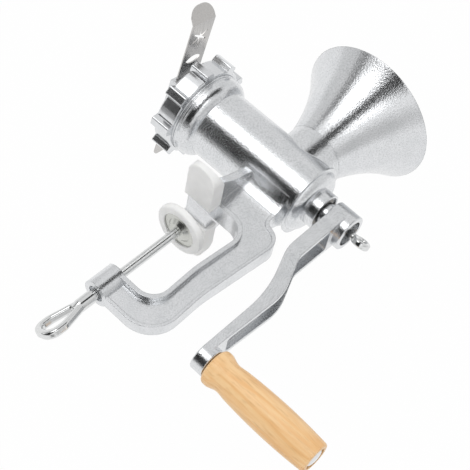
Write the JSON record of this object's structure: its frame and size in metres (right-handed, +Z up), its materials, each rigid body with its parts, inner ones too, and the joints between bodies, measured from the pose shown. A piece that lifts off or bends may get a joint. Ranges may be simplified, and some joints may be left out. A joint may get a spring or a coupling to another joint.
{
  "type": "hand crank meat grinder",
  "caption": "Hand crank meat grinder with a trumpet hopper, a C-shaped table clamp with a screw and pad, a wooden grip and a sliding forming strip at the outlet.",
  "frame": {"origin": "on the clamp screw's axis, in the plane where the feet's caps sit on the table", "axes": "+X along the barrel from the outlet to the crank, +Z up through the hopper, -Y to the near side of the picture"},
  "size_m": [0.2438, 0.1221, 0.276],
  "materials": {
    "cast_aluminium": "polished casting",
    "nut_aluminium": "polished casting",
    "guide_aluminium": "tumbled casting",
    "crank_aluminium": "tumbled casting",
    "auger_aluminium": "as cast",
    "sintered_bush": "sintered, oiled",
    "tool_steel": "ground",
    "stainless_sheet": "bright rolled sheet",
    "bright_steel": "bright plated",
    "zinc_steel": "zinc plated",
    "white_plastic": "satin moulded",
    "varnished_wood": "turned and varnished"
  },
  "bodies": {
    "casting": {"hopper": "cast_aluminium", "barrel": "cast_aluminium", "clamp_frame": "cast_aluminium", "foot_cap_near": "white_plastic", "foot_cap_far": "white_plastic", "rear_bush": "sintered_bush", "thrust_washer": "tool_steel", "grinding_plate": "tool_steel", "plate_locating_pin": "tool_steel"},
    "crank": {"auger": "auger_aluminium", "knife_stud": "tool_steel", "cutting_knife": "tool_steel", "crank_arm": "crank_aluminium", "grip_pin": "bright_steel"},
    "grip": {"grip": "varnished_wood"},
    "thumb_washer": {"crank_washer": "bright_steel"},
    "thumb_screw": {"thumb_screw": "bright_steel"},
    "outlet_guide": {"guide_plate": "guide_aluminium"},
    "ring_nut": {"ring_nut": "nut_aluminium"},
    "forming_strip": {"shape_strip": "stainless_sheet"},
    "clamp_pad": {"pressure_disc": "zinc_steel", "pressure_pad": "white_plastic"},
    "clamp_screw": {"clamp_screw": "bright_steel", "loop_handle": "bright_steel"}
  },
  "joints": [
    {"name": "crank_turn", "type": "hinge", "parent": "casting", "child": "crank", "pos_m": [0, 0, 0.062], "axis": [1, 0, 0], "continuous": true},
    {"name": "grip_spin", "type": "hinge", "parent": "crank", "child": "grip", "pos_m": [0.118, 0, -0.0687], "axis": [1, 0, 0], "continuous": true},
    {"name": "thumb_washer_slide", "type": "slide", "parent": "crank", "child": "thumb_washer", "axis": [1, 0, 0], "range_m": [0, 0.012]},
    {"name": "thumb_screw_turn", "type": "hinge", "parent": "thumb_washer", "child": "thumb_screw", "pos_m": [0.07, 0, 0.062], "axis": [1, 0, 0], "range_deg": [0, 4320.5]},
    {"name": "guide_slide", "type": "slide", "parent": "casting", "child": "outlet_guide", "axis": [-1, 0, 0], "range_m": [0, 0.008]},
    {"name": "nut_turn", "type": "hinge", "parent": "outlet_guide", "child": "ring_nut", "pos_m": [-0.063, 0, 0.062], "axis": [-1, 0, 0], "range_deg": [0, 1440.5]},
    {"name": "strip_slide", "type": "slide", "parent": "outlet_guide", "child": "forming_strip", "axis": [0, -0.981, 0.1942], "range_m": [-0.038, 0.03]},
    {"name": "pad_slide", "type": "slide", "parent": "casting", "child": "clamp_pad", "axis": [0, 0, 1], "range_m": [-0.044, 0.002]},
    {"name": "clamp_screw_turn", "type": "hinge", "parent": "clamp_pad", "child": "clamp_screw", "pos_m": [0, 0, -0.06], "axis": [0, 0, 1], "range_deg": [-15840.5, 720.5]}
  ],
  "couplings": [
    {"joint": "thumb_screw_turn", "follows": "thumb_washer_slide", "rad_per_m": 6283.2},
    {"joint": "nut_turn", "follows": "guide_slide", "rad_per_m": 3141.6},
    {"joint": "clamp_screw_turn", "follows": "pad_slide", "rad_per_m": 6283.2}
  ]
}
